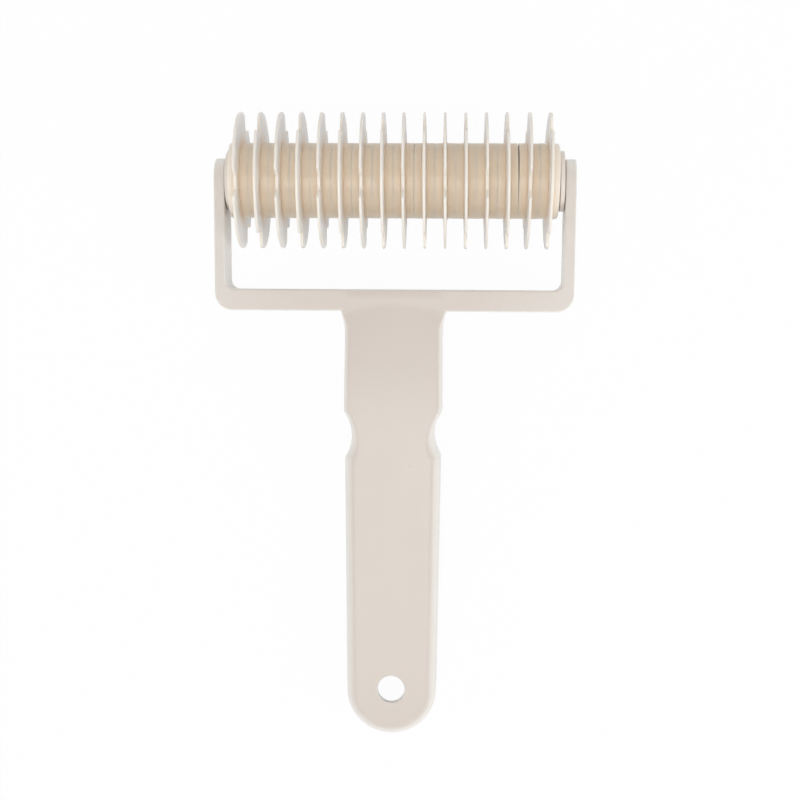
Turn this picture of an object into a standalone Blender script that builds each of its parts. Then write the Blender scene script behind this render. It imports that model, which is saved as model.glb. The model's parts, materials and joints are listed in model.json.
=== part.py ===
"""Lattice roller cutter for pastry.

Sixteen notched cutting wheels and two domed end caps are threaded on a
hexagonal shaft, and the shaft's round journals turn in the two arms of a
one-piece moulded fork and handle. The handle is a shell that is open at the
back, with ribs across and along it.

The tool lies as it is put down on a table: on the wheels and on the far end
of the handle. X runs along the shaft, +Y from the handle to the wheels and +Z
up. The origin is at the middle of the footprint, on the table.

In the tool's own plane the shaft is at 0, the handle runs along -Y and the
front of the tool faces +Z. Half widths are measured from the middle plane.
"""

import math

import bmesh
import bpy
from mathutils import Vector

MM = 0.001

# Clearances
END_GAP = 0.3 * MM
KEY_GAP = 0.3 * MM
BEARING_GAP = 0.3 * MM

# Cutting wheels
WHEEL_COUNT = 16
WHEEL_PITCH = 6.54 * MM
WHEEL_RADIUS = 21.65 * MM
HUB_RADIUS = 11.95 * MM
BLADE_ROOT_THICKNESS = 1.25 * MM
BLADE_EDGE_THICKNESS = 0.6 * MM
BLADE_SEAT_DEPTH = 0.8 * MM
NOTCHES_PER_WHEEL = 3
NOTCH_MOUTH_ANGLE = math.radians(24.0)
NOTCH_FLOOR_ANGLE = math.radians(15.0)
NOTCH_DEPTH = 4.2 * MM
FIRST_NOTCH_AT = math.radians(-20.0)
STACK_PLAY = 0.65 * MM
WHEELS_BEFORE_PLAY = 14

# Shaft and end caps
CORE_ACROSS_FLATS = 10.0 * MM
JOURNAL_RADIUS = 3.0 * MM
JOURNAL_CHAMFER = 0.4 * MM
CAP_RADIUS = 9.6 * MM
CAP_THICKNESS = 1.1 * MM
CAP_RIM_THICKNESS = 0.5 * MM

# Fork
ARM_THICKNESS = 3.4 * MM
ARM_SPLAY = 0.3 * MM
FORK_DEPTH = 14.0 * MM
BAR_TOP_FROM_SHAFT = 34.8 * MM
BAR_HEIGHT = 6.85 * MM
FORK_OUTER_CORNER = 5.7 * MM
FORK_INNER_CORNER = 3.0 * MM
FORK_EDGE_RADIUS = 0.6 * MM
BAR_WALL = 2.0 * MM

# Handle, with its places measured from the lower side of the bar
NECK_HALF_WIDTH = 15.55 * MM
NECK_FLARE = 1.25 * MM
NECK_FLARE_LENGTH = 7.4 * MM
SHOULDER_HALF_WIDTH = 15.7 * MM
WAIST_FROM_BAR = 31.9 * MM
WAIST_LENGTH = 15.3 * MM
WAIST_DEPTH = 2.35 * MM
GRIP_TOP_HALF_WIDTH = 15.4 * MM
GRIP_END_HALF_WIDTH = 14.45 * MM
HANDLE_LENGTH = 137.5 * MM
HANGING_HOLE_FROM_END = 15.1 * MM
HANGING_HOLE_RADIUS = 4.4 * MM
HANGING_HOLE_CHAMFER = 0.7 * MM
HANDLE_WALL = 2.4 * MM
NECK_EDGE_RADIUS = 1.8 * MM
GRIP_EDGE_RADIUS = 3.4 * MM
BACK_EDGE_CHAMFER = 0.5 * MM
NECK_ARCH = 3.3 * MM
NECK_RISE = 2.2 * MM
GRIP_RISE = 2.0 * MM

# Ribs in the open back
RIB_THICKNESS = 1.6 * MM
RIB_RECESS = 1.5 * MM
LONGEST_RIB_CELL = 18.8 * MM
RIB_FROM_HANGING_HOLE = 9.8 * MM

# Facets
BORE_SIDES = 24
HUB_SIDES = 24
CAP_SIDES = 32
RIM_STEPS = 12
FLOOR_STEPS = 2
CORNER_STEPS = 6
EDGE_STEPS = 3
FORK_EDGE_STEPS = 2
NECK_STEPS = 8
ARCH_STEPS = 4
NECK_COLUMNS = 10
GRIP_STEPS = 3
WAIST_STEPS = 10
END_STEPS = 10
BEVELLED_OVER = math.radians(50.0)
SHARP_OVER = math.radians(35.0)

# Plastics: linear RGB colour and roughness
HANDLE_PLASTIC = ((0.76, 0.69, 0.62), 0.42)
WHEEL_PLASTIC = ((0.75, 0.66, 0.56), 0.38)
SHAFT_PLASTIC = ((0.74, 0.65, 0.55), 0.40)

# Sizes that follow from the ones above
HEXAGON_SIDES = 6
PAST = 2.0 * MM
TOUCHING = 0.001 * MM
STACK_HALF = (WHEEL_COUNT * WHEEL_PITCH + STACK_PLAY) / 2
CAP_INNER_FACE = STACK_HALF + END_GAP / 2
CAP_OUTER_FACE = CAP_INNER_FACE + CAP_THICKNESS
ARM_INNER_FACE = CAP_OUTER_FACE + END_GAP
ARM_OUTER_FACE = ARM_INNER_FACE + ARM_THICKNESS
CORNER_INNER_FACE = ARM_INNER_FACE - ARM_SPLAY
FORK_HALF_DEPTH = FORK_DEPTH / 2
BAR_TOP = -BAR_TOP_FROM_SHAFT
BAR_BOTTOM = BAR_TOP - BAR_HEIGHT
HANDLE_END = BAR_BOTTOM - HANDLE_LENGTH
END_CENTRE = HANDLE_END + GRIP_END_HALF_WIDTH
HANDLE_START = BAR_BOTTOM + BAR_HEIGHT / 2
NECK_ROOT_HALF_WIDTH = NECK_HALF_WIDTH + NECK_FLARE
HANGING_HOLE_AT = HANDLE_END + HANGING_HOLE_FROM_END
HANGING_RIB_AT = HANGING_HOLE_AT + RIB_FROM_HANGING_HOLE
JOURNAL_END = ARM_OUTER_FACE - END_GAP

# The wheels and the back of the handle's far end meet the table
REST_REACH = math.hypot(HANDLE_END, FORK_HALF_DEPTH)
REST_LEAN = math.atan2(FORK_HALF_DEPTH, -HANDLE_END)
REST_TILT = math.asin(WHEEL_RADIUS / REST_REACH) - REST_LEAN
SHAFT_HEIGHT = WHEEL_RADIUS
FOOTPRINT_FAR = -HANDLE_END * math.cos(REST_TILT)
SHAFT_FORWARD = (FOOTPRINT_FAR - WHEEL_RADIUS) / 2


def clear_scene():
    """Remove what the scene holds."""
    for item in list(bpy.data.objects):
        bpy.data.objects.remove(item, do_unlink=True)


def plastic(name, colour, roughness):
    """Return a moulded plastic with a linear RGB colour."""
    material = bpy.data.materials.new(name)
    material.use_nodes = True
    shader = material.node_tree.nodes["Principled BSDF"]
    shader.inputs["Base Color"].default_value = (*colour, 1.0)
    shader.inputs["Roughness"].default_value = roughness
    shader.inputs["Metallic"].default_value = 0.0
    return material


def add_object(name, mesh, parent=None, material=None):
    """Link a named object that shows a mesh."""
    piece = bpy.data.objects.new(name, mesh)
    bpy.context.scene.collection.objects.link(piece)
    piece.parent = parent
    if material is not None:
        if mesh.materials:
            mesh.materials[0] = material
        else:
            mesh.materials.append(material)
    return piece


def add_cutter(name, mesh, parent=None):
    """Link an object that only shapes others."""
    cutter = add_object(name, mesh, parent)
    cutter.hide_render = True
    cutter.display_type = "WIRE"
    return cutter


def add_empty(name, location, tilt):
    """Link an empty, turned about X by tilt."""
    empty = bpy.data.objects.new(name, None)
    bpy.context.scene.collection.objects.link(empty)
    empty.location = location
    empty.rotation_euler = (tilt, 0.0, 0.0)
    return empty


def boolean(piece, operation, operand):
    """Add an exact Boolean modifier."""
    modifier = piece.modifiers.new(f"{operation.lower()} {operand.name}", "BOOLEAN")
    modifier.operation = operation
    modifier.solver = "EXACT"
    modifier.object = operand


def mesh_from(name, build):
    """Make a mesh with a function that fills a bmesh, and point its faces outward."""
    shape = bmesh.new()
    build(shape)
    bmesh.ops.recalc_face_normals(shape, faces=shape.faces)
    mesh = bpy.data.meshes.new(name)
    shape.to_mesh(mesh)
    shape.free()
    return mesh


def soften(mesh):
    """Shade smooth, and keep the steeper edges sharp."""
    mesh.shade_smooth()
    mesh.set_sharp_from_angle(angle=SHARP_OVER)


def evaluated_mesh(name, piece):
    """Return a piece's mesh with its modifiers applied."""
    bpy.context.view_layer.update()
    depsgraph = bpy.context.evaluated_depsgraph_get()
    mesh = bpy.data.meshes.new_from_object(piece.evaluated_get(depsgraph))
    mesh.name = name
    return mesh


def close_rings(shape, rings, cap_start=True, cap_end=True):
    """Join closed rings of points, one after another, and cap the two ends."""
    rows = [[shape.verts.new(point) for point in ring] for ring in rings]
    count = len(rows[0])
    for low, high in zip(rows, rows[1:]):
        for i in range(count):
            j = (i + 1) % count
            shape.faces.new((low[i], low[j], high[j], high[i]))
    if cap_start:
        shape.faces.new(rows[0])
    if cap_end:
        shape.faces.new(rows[-1])
    return rows


def turned(profile, sides, turn=0.0):
    """Return rings about X from a profile of (place along X, radius)."""
    angles = [turn + math.tau * i / sides for i in range(sides)]
    return [
        [Vector((along, radius * math.cos(a), radius * math.sin(a))) for a in angles]
        for along, radius in profile
    ]


def turned_mesh(name, profile, sides, turn=0.0):
    """Make a solid of revolution about X."""
    return mesh_from(name, lambda shape: close_rings(shape, turned(profile, sides, turn)))


def box_mesh(name, boxes):
    """Make separate boxes, each given by its low and high corners."""

    def build(shape):
        for low, high in boxes:
            corners = [(low[0], low[1]), (high[0], low[1]), (high[0], high[1]), (low[0], high[1])]
            rings = [[Vector((x, y, z)) for x, y in corners] for z in (low[2], high[2])]
            close_rings(shape, rings)

    return mesh_from(name, build)


def arc(centre, radius, start, end, steps):
    """Return points on an arc, with both ends."""
    return [
        (
            centre[0] + radius * math.cos(start + (end - start) * i / steps),
            centre[1] + radius * math.sin(start + (end - start) * i / steps),
        )
        for i in range(steps + 1)
    ]


def hexagon_radius(across_flats):
    """Return the corner radius of a hexagon."""
    return across_flats / 2 / math.cos(math.pi / HEXAGON_SIDES)


def hexagonal_bore(name, length):
    """Make the cutter of a bore that slides over the shaft's core."""
    radius = hexagon_radius(CORE_ACROSS_FLATS + 2 * KEY_GAP)
    profile = [(-length / 2 - PAST, radius), (length / 2 + PAST, radius)]
    return add_cutter(name, turned_mesh(name, profile, HEXAGON_SIDES))


def blade_half_thickness(radius):
    """Return half the blade's thickness, which tapers from the hub to the edge."""
    share = (radius - HUB_RADIUS) / (WHEEL_RADIUS - HUB_RADIUS)
    return (BLADE_ROOT_THICKNESS + (BLADE_EDGE_THICKNESS - BLADE_ROOT_THICKNESS) * share) / 2


def blade_outline():
    """Return the (angle, radius) points of a blade, rim and notches, once round."""
    sector = math.tau / NOTCHES_PER_WHEEL
    rim = sector - NOTCH_MOUTH_ANGLE
    points = []
    for notch in range(NOTCHES_PER_WHEEL):
        middle = notch * sector
        for i in range(FLOOR_STEPS + 1):
            angle = middle + NOTCH_FLOOR_ANGLE * (i / FLOOR_STEPS - 0.5)
            points.append((angle, WHEEL_RADIUS - NOTCH_DEPTH))
        for i in range(RIM_STEPS + 1):
            angle = middle + NOTCH_MOUTH_ANGLE / 2 + rim * i / RIM_STEPS
            points.append((angle, WHEEL_RADIUS))
    return points


def blade_ring(outline, side):
    """Return the blade's outline on its left or right face."""
    return [
        Vector((side * blade_half_thickness(r), r * math.cos(a), r * math.sin(a)))
        for a, r in outline
    ]


def cutting_wheel_mesh():
    """Make one wheel: a notched, tapered blade on a hub with a hexagonal bore."""
    outline = blade_outline()
    root_radius = HUB_RADIUS - BLADE_SEAT_DEPTH
    root = [(angle, root_radius) for angle, _ in outline]
    rings = [
        blade_ring(root, -1),
        blade_ring(outline, -1),
        blade_ring(outline, 1),
        blade_ring(root, 1),
    ]
    blade = add_cutter("wheel_blade", mesh_from("wheel_blade", lambda s: close_rings(s, rings)))
    hub_length = WHEEL_PITCH - END_GAP
    profile = [(-hub_length / 2, HUB_RADIUS), (hub_length / 2, HUB_RADIUS)]
    hub = add_cutter("wheel_hub", turned_mesh("wheel_hub", profile, HUB_SIDES))
    boolean(hub, "UNION", blade)
    boolean(hub, "DIFFERENCE", hexagonal_bore("wheel_bore", hub_length))
    mesh = evaluated_mesh("cutting_wheel", hub)
    soften(mesh)
    return mesh


def wheel_place(index):
    """Return a wheel's place along the shaft; the stack's play shows after one of them."""
    place = -STACK_HALF + (index + 0.5) * WHEEL_PITCH
    if index >= WHEELS_BEFORE_PLAY:
        place += STACK_PLAY
    return place


def add_cutting_wheels(parent, material):
    """Thread the wheels, every other one turned by half a notch pitch."""
    mesh = cutting_wheel_mesh()
    half_pitch = math.pi / NOTCHES_PER_WHEEL
    for index in range(WHEEL_COUNT):
        wheel = add_object(f"cutting_wheel_{index + 1:02d}", mesh, parent, material)
        wheel.location = (wheel_place(index), 0.0, 0.0)
        wheel.rotation_euler = (FIRST_NOTCH_AT + (index % 2) * half_pitch, 0.0, 0.0)


def add_roller_shaft(parent, material):
    """Make the hexagonal core with a round journal at each end."""
    journal = [
        (-JOURNAL_END, JOURNAL_RADIUS - JOURNAL_CHAMFER),
        (-JOURNAL_END + JOURNAL_CHAMFER, JOURNAL_RADIUS),
        (JOURNAL_END - JOURNAL_CHAMFER, JOURNAL_RADIUS),
        (JOURNAL_END, JOURNAL_RADIUS - JOURNAL_CHAMFER),
    ]
    pin = add_cutter("shaft_journals", turned_mesh("shaft_journals", journal, BORE_SIDES), parent)
    radius = hexagon_radius(CORE_ACROSS_FLATS)
    core = [(-CAP_OUTER_FACE, radius), (CAP_OUTER_FACE, radius)]
    mesh = turned_mesh("roller_shaft", core, HEXAGON_SIDES)
    shaft = add_object("roller_shaft", mesh, parent, material)
    shaft.rotation_euler = (FIRST_NOTCH_AT, 0.0, 0.0)
    boolean(shaft, "UNION", pin)


def end_cap_mesh():
    """Make an end cap, domed towards the arm, with a hexagonal bore."""
    rise = CAP_THICKNESS - CAP_RIM_THICKNESS
    crown_start = hexagon_radius(CORE_ACROSS_FLATS) + KEY_GAP + CAP_RIM_THICKNESS
    width = CAP_RADIUS - crown_start
    quarter = math.pi / 2
    crown = [
        (CAP_RIM_THICKNESS + rise * math.sin(quarter * i / EDGE_STEPS),
         crown_start + width * math.cos(quarter * i / EDGE_STEPS))
        for i in range(EDGE_STEPS + 1)
    ]
    profile = [(0.0, CAP_RADIUS)] + crown
    body = add_cutter("cap_body", turned_mesh("cap_body", profile, CAP_SIDES))
    boolean(body, "DIFFERENCE", hexagonal_bore("cap_bore", 2 * CAP_THICKNESS))
    mesh = evaluated_mesh("end_cap", body)
    soften(mesh)
    return mesh


def add_end_caps(parent, material):
    """Put a cap at each end of the stack, dome outward."""
    mesh = end_cap_mesh()
    for name, side in (("end_cap_left", -1), ("end_cap_right", 1)):
        cap = add_object(name, mesh, parent, material)
        cap.location = (side * CAP_INNER_FACE, 0.0, 0.0)
        half_turn = 0.0 if side > 0 else math.pi
        cap.rotation_euler = (side * FIRST_NOTCH_AT, 0.0, half_turn)


def arm_face(face, place):
    """Return an arm face's half width at a place along Y, with the arms' splay."""
    slope = ARM_SPLAY / BAR_TOP_FROM_SHAFT
    return face + slope * place


def fork_side():
    """Return the right half of the fork's outline, from the outside of the bar inwards."""
    tip = FORK_HALF_DEPTH + PAST
    outer_width = arm_face(ARM_OUTER_FACE, BAR_TOP)
    outer_corner = (outer_width - FORK_OUTER_CORNER, BAR_BOTTOM + FORK_OUTER_CORNER)
    inner_corner = (CORNER_INNER_FACE - FORK_INNER_CORNER, BAR_TOP + FORK_INNER_CORNER)
    quarter = math.pi / 2
    points = arc(outer_corner, FORK_OUTER_CORNER, -quarter, 0.0, CORNER_STEPS)
    points.append((arm_face(ARM_OUTER_FACE, tip), tip))
    points.append((arm_face(ARM_INNER_FACE, tip), tip))
    points += arc(inner_corner, FORK_INNER_CORNER, 0.0, -quarter, CORNER_STEPS)
    return points


def mirrored(side):
    """Close a right half outline with its mirror image."""
    return side + [(-x, y) for x, y in reversed(side)]


def fork_mesh():
    """Make the fork's outline as a slab, deeper than the fork."""
    outline = mirrored(fork_side())
    rings = [
        [Vector((x, y, z)) for x, y in outline]
        for z in (-FORK_HALF_DEPTH - PAST, FORK_HALF_DEPTH + PAST)
    ]
    return mesh_from("fork", lambda shape: close_rings(shape, rings))


def fork_envelope(parent):
    """Make the fork's side view: flat front and back, and arm ends round the shaft."""
    quarter = math.pi / 2
    outline = arc((0.0, 0.0), FORK_HALF_DEPTH, -quarter, quarter, 2 * CORNER_STEPS)
    beyond = BAR_BOTTOM - PAST
    outline += [(beyond, FORK_HALF_DEPTH), (beyond, -FORK_HALF_DEPTH)]
    reach = ARM_OUTER_FACE + 2 * PAST
    rings = [[Vector((x, y, z)) for y, z in outline] for x in (-reach, reach)]
    mesh = mesh_from("fork_envelope", lambda shape: close_rings(shape, rings))
    return add_cutter("fork_envelope", mesh, parent)


def bearing_cutter(parent):
    """Make one long cutter for the bearing holes of both arms."""
    reach = ARM_OUTER_FACE + 2 * PAST
    radius = JOURNAL_RADIUS + BEARING_GAP
    mesh = turned_mesh("bearing_holes", [(-reach, radius), (reach, radius)], BORE_SIDES)
    return add_cutter("bearing_holes", mesh, parent)


def smooth_step(share):
    """Return a share from 0 to 1 with soft ends."""
    share = min(max(share, 0.0), 1.0)
    return share * share * (3 - 2 * share)


def front_rise(x, place):
    """Return how far the handle's front stands above the bar's face.

    It leaves the bar's face along an arch, is highest at the top of the waist
    and is a little lower along the grip.
    """
    down = BAR_BOTTOM - place
    arch = NECK_ARCH * max(1 - (x / NECK_ROOT_HALF_WIDTH) ** 2, 0.0)
    share = min(max((down + arch) / (WAIST_FROM_BAR + arch), 0.0), 1.0)
    fall = (NECK_RISE - GRIP_RISE) * smooth_step((down - WAIST_FROM_BAR) / WAIST_LENGTH)
    return NECK_RISE * math.sin(math.pi / 2 * share) - fall


def cut_rows_and_columns(shape):
    """Cut the front between the bar and the waist into cells that can follow the rise."""
    rows = [BAR_BOTTOM + NECK_ARCH * i / ARCH_STEPS for i in range(ARCH_STEPS + 1)]
    columns = [NECK_ROOT_HALF_WIDTH * (2 * i / NECK_COLUMNS - 1) for i in range(NECK_COLUMNS + 1)]
    planes = [((0.0, row, 0.0), (0.0, 1.0, 0.0)) for row in rows]
    planes += [((column, 0.0, 0.0), (1.0, 0.0, 0.0)) for column in columns]
    lowest = FORK_HALF_DEPTH - FORK_EDGE_RADIUS - TOUCHING
    farthest = BAR_BOTTOM - WAIST_FROM_BAR - TOUCHING
    for point, normal in planes:
        faces = [
            face for face in shape.faces
            if all(vert.co.z > lowest and vert.co.y > farthest for vert in face.verts)
        ]
        edges = dict.fromkeys(edge for face in faces for edge in face.edges)
        verts = dict.fromkeys(vert for face in faces for vert in face.verts)
        cut = [*faces, *edges, *verts]
        bmesh.ops.bisect_plane(shape, geom=cut, dist=TOUCHING, plane_co=point, plane_no=normal)


def raise_front(mesh, with_cells):
    """Raise the front of a mesh, with its rounded edges, to the handle's own height."""
    shape = bmesh.new()
    shape.from_mesh(mesh)
    if with_cells:
        cut_rows_and_columns(shape)
    edges_start = FORK_HALF_DEPTH - max(HANDLE_WALL, GRIP_EDGE_RADIUS) - BACK_EDGE_CHAMFER
    for vert in shape.verts:
        if vert.co.z > edges_start:
            vert.co.z += front_rise(vert.co.x, vert.co.y)
    shape.to_mesh(mesh)
    shape.free()
    return mesh


def edge_radius(place):
    """Return the front edge's radius, which grows from the neck to the grip."""
    share = smooth_step((BAR_BOTTOM - place - WAIST_FROM_BAR) / WAIST_LENGTH)
    return NECK_EDGE_RADIUS + (GRIP_EDGE_RADIUS - NECK_EDGE_RADIUS) * share


def handle_side(start):
    """Return the handle's right side as (half width, place), from start to the end's tip."""
    flare_radius = (NECK_FLARE_LENGTH**2 + NECK_FLARE**2) / (2 * NECK_FLARE)
    flare_end = BAR_BOTTOM - NECK_FLARE_LENGTH
    flare_centre = (NECK_HALF_WIDTH + flare_radius, flare_end)
    flare_angle = math.pi - math.asin(NECK_FLARE_LENGTH / flare_radius)
    waist_top = BAR_BOTTOM - WAIST_FROM_BAR
    waist_bottom = waist_top - WAIST_LENGTH
    points = []
    if start > BAR_BOTTOM:
        points.append((NECK_ROOT_HALF_WIDTH, start))
    points += arc(flare_centre, flare_radius, flare_angle, math.pi, CORNER_STEPS)
    for i in range(1, NECK_STEPS + 1):
        share = i / NECK_STEPS
        width = NECK_HALF_WIDTH + (SHOULDER_HALF_WIDTH - NECK_HALF_WIDTH) * share
        points.append((width, flare_end + (waist_top - flare_end) * share))
    for i in range(1, WAIST_STEPS + 1):
        share = i / WAIST_STEPS
        chord = SHOULDER_HALF_WIDTH + (GRIP_TOP_HALF_WIDTH - SHOULDER_HALF_WIDTH) * share
        dip = WAIST_DEPTH * (1 - (2 * share - 1) ** 2)
        points.append((chord - dip, waist_top + (waist_bottom - waist_top) * share))
    for i in range(1, GRIP_STEPS + 1):
        share = i / GRIP_STEPS
        width = GRIP_TOP_HALF_WIDTH + (GRIP_END_HALF_WIDTH - GRIP_TOP_HALF_WIDTH) * share
        points.append((width, waist_bottom + (END_CENTRE - waist_bottom) * share))
    points += arc((0.0, END_CENTRE), GRIP_END_HALF_WIDTH, 0.0, -math.pi / 2, END_STEPS)[1:]
    return points


def inset_side(side, insets):
    """Move each point of a side inwards, square to the side, by its own inset."""
    moved = []
    for i, (x, y) in enumerate(side):
        before = side[max(i - 1, 0)]
        after = side[i + 1] if i + 1 < len(side) else (-side[i - 1][0], side[i - 1][1])
        along = Vector((after[0] - before[0], after[1] - before[1])).normalized()
        moved.append((x + along.y * insets[i], y - along.x * insets[i]))
    return moved


def handle_rings(start, back, wall, chamfer):
    """Return the rings of the handle, or of its hollow where wall is over 0, from back to front."""
    side = handle_side(start)
    radii = [max(edge_radius(y) - wall, chamfer) for _, y in side]
    rings = []
    for inset, level in ((wall + chamfer, back), (wall, back + chamfer)):
        moved = inset_side(side, [inset] * len(side))
        rings.append([(x, y, level) for x, y in moved])
    for step in range(EDGE_STEPS + 1):
        angle = math.pi / 2 * step / EDGE_STEPS
        insets = [wall + radius * (1 - math.cos(angle)) for radius in radii]
        moved = inset_side(side, insets)
        drops = [wall + radius * (1 - math.sin(angle)) for radius in radii]
        rings.append([(x, y, FORK_HALF_DEPTH - drop) for (x, y), drop in zip(moved, drops)])
    return [mirrored_ring(ring) for ring in rings]


def mirrored_ring(side):
    """Close a right half ring, whose last point is on the middle plane."""
    return [Vector(p) for p in side] + [Vector((-x, y, z)) for x, y, z in reversed(side[:-1])]


def close_ladder(shape, row):
    """Fill a mirrored ring with rungs from side to side, up to its tip."""
    tip = len(row) // 2
    for i in range(tip - 1):
        shape.faces.new((row[i], row[i + 1], row[-2 - i], row[-1 - i]))
    shape.faces.new((row[tip - 1], row[tip], row[tip + 1]))


def handle_mesh(name, start, back, wall, chamfer):
    """Make the handle's outer body, or the hollow inside its wall."""

    def build(shape):
        rows = close_rings(shape, handle_rings(start, back, wall, chamfer), False, False)
        close_ladder(shape, rows[0])
        close_ladder(shape, rows[-1])

    return mesh_from(name, build)


def rib_places(start, end):
    """Return the middles of evenly spaced ribs between two walls."""
    cells = max(1, math.ceil((end - start) / LONGEST_RIB_CELL))
    return [start + (end - start) * i / cells for i in range(1, cells)]


def rib_box(low_x, high_x, low_y, high_y):
    """Return the low and high corners of a rib, set back from the rim of the open back."""
    return (
        (low_x, low_y, -FORK_HALF_DEPTH + RIB_RECESS),
        (high_x, high_y, FORK_HALF_DEPTH + PAST),
    )


def handle_hollow(parent):
    """Make the space in the handle's open back, between its ribs."""
    back = -FORK_HALF_DEPTH - PAST
    mesh = handle_mesh("handle_hollow", BAR_BOTTOM, back, HANDLE_WALL, BACK_EDGE_CHAMFER)
    hollow = add_cutter("handle_hollow", raise_front(mesh, False), parent)
    span = NECK_ROOT_HALF_WIDTH + PAST
    half = RIB_THICKNESS / 2
    places = [HANGING_RIB_AT] + rib_places(HANGING_RIB_AT, BAR_BOTTOM)
    across = [rib_box(-span, span, place - half, place + half) for place in places]
    along = [rib_box(-half, half, HANGING_RIB_AT, BAR_BOTTOM + PAST)]
    boolean(hollow, "DIFFERENCE", add_cutter("ribs_across", box_mesh("ribs_across", across), parent))
    boolean(hollow, "DIFFERENCE", add_cutter("rib_along", box_mesh("rib_along", along), parent))
    return hollow


def bar_hollow(parent):
    """Make the channel in the bar's open back, between its ribs."""
    reach = CORNER_INNER_FACE - FORK_INNER_CORNER
    low = (-reach, BAR_BOTTOM + BAR_WALL, -FORK_HALF_DEPTH - PAST)
    high = (reach, BAR_TOP - BAR_WALL, FORK_HALF_DEPTH - HANDLE_WALL)
    hollow = add_cutter("bar_hollow", box_mesh("bar_hollow", [(low, high)]), parent)
    half = RIB_THICKNESS / 2
    places = rib_places(-reach, reach)
    ribs = [rib_box(place - half, place + half, BAR_BOTTOM, BAR_TOP) for place in places]
    boolean(hollow, "DIFFERENCE", add_cutter("bar_ribs", box_mesh("bar_ribs", ribs), parent))
    return hollow


def hanging_hole_cutter(parent):
    """Make the cutter of the hanging hole, with a chamfer at the front."""
    wide = HANGING_HOLE_RADIUS + HANGING_HOLE_CHAMFER
    front = FORK_HALF_DEPTH + GRIP_RISE
    levels = [
        (0.0, HANGING_HOLE_RADIUS),
        (front - HANGING_HOLE_CHAMFER, HANGING_HOLE_RADIUS),
        (front, wide),
        (front + PAST, wide),
    ]
    angles = [math.tau * i / BORE_SIDES for i in range(BORE_SIDES)]
    rings = [
        [Vector((radius * math.cos(a), HANGING_HOLE_AT + radius * math.sin(a), z)) for a in angles]
        for z, radius in levels
    ]
    mesh = mesh_from("hanging_hole", lambda shape: close_rings(shape, rings))
    return add_cutter("hanging_hole", mesh, parent)


def add_handle_yoke(parent, material):
    """Make the moulded fork and handle in one piece."""
    fork = add_cutter("fork", fork_mesh(), parent)
    boolean(fork, "INTERSECT", fork_envelope(parent))
    bevel = fork.modifiers.new("fork edges", "BEVEL")
    bevel.width = FORK_EDGE_RADIUS
    bevel.segments = FORK_EDGE_STEPS
    bevel.limit_method = "ANGLE"
    bevel.angle_limit = BEVELLED_OVER
    boolean(fork, "DIFFERENCE", bearing_cutter(parent))
    body_mesh = handle_mesh("handle_body", HANDLE_START, -FORK_HALF_DEPTH, 0.0, BACK_EDGE_CHAMFER)
    boolean(fork, "UNION", add_cutter("handle_body", body_mesh, parent))
    joined = raise_front(evaluated_mesh("handle_yoke", fork), True)
    yoke = add_object("handle_yoke", joined, parent, material)
    boolean(yoke, "DIFFERENCE", handle_hollow(parent))
    boolean(yoke, "DIFFERENCE", bar_hollow(parent))
    boolean(yoke, "DIFFERENCE", hanging_hole_cutter(parent))
    soften(yoke.data)


def main():
    """Build the tool, lying on a table."""
    clear_scene()
    shaft_at = (0.0, SHAFT_FORWARD, SHAFT_HEIGHT)
    handle_frame = add_empty("handle_frame", shaft_at, REST_TILT)
    roller_axis = add_empty("roller_axis", shaft_at, 0.0)
    wheel_plastic = plastic("wheel_plastic", *WHEEL_PLASTIC)
    add_handle_yoke(handle_frame, plastic("handle_plastic", *HANDLE_PLASTIC))
    add_roller_shaft(roller_axis, plastic("shaft_plastic", *SHAFT_PLASTIC))
    add_cutting_wheels(roller_axis, wheel_plastic)
    add_end_caps(roller_axis, wheel_plastic)


main()
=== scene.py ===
"""Lattice roller cutter for pastry, dressed for its picture.

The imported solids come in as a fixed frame. Each piece of the tool is modelled
again with its fine roundings, takes the place of its solid and gets the finish
of its moulded plastic.

Places are in metres. In the tool's own frame the shaft is at 0, the handle
runs along -Y and the front faces +Z. The tool lies tilted about its shaft, on
its wheels and on the far end of the handle.
"""

from __future__ import annotations

import json
import logging
import math
from collections.abc import Callable, Mapping, Sequence
from dataclasses import dataclass, replace
from enum import Enum
from functools import partial
from typing import Any, ClassVar

import bmesh
import bpy
from bmesh.types import BMesh
from bpy.types import ID, Material, Mesh, NodeSocket, Object, World
from mathutils import Matrix, Vector

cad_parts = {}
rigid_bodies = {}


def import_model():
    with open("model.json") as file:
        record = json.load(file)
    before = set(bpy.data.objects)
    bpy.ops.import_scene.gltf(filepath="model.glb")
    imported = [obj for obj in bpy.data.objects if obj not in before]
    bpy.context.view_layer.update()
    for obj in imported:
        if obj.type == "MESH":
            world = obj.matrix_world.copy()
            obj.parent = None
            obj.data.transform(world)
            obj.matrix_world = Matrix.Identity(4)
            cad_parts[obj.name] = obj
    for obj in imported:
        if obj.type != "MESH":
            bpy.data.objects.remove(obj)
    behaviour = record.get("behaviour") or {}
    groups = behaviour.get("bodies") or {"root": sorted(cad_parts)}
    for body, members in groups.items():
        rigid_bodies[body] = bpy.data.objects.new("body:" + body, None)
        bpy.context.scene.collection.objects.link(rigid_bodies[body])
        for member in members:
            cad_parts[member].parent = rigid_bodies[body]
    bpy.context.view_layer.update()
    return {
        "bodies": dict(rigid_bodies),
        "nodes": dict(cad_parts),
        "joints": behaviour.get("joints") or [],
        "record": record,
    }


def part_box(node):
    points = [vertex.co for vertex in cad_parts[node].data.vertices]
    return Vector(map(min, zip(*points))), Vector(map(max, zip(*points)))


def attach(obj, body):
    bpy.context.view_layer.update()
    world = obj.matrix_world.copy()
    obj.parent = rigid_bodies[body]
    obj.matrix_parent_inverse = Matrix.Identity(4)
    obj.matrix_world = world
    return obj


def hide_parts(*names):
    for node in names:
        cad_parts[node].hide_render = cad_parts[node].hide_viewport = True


MM = 0.001
WELD = 0.001 * MM
PAST = 2.0 * MM
QUARTER = math.pi / 2
DEGREE = QUARTER / 90

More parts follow.
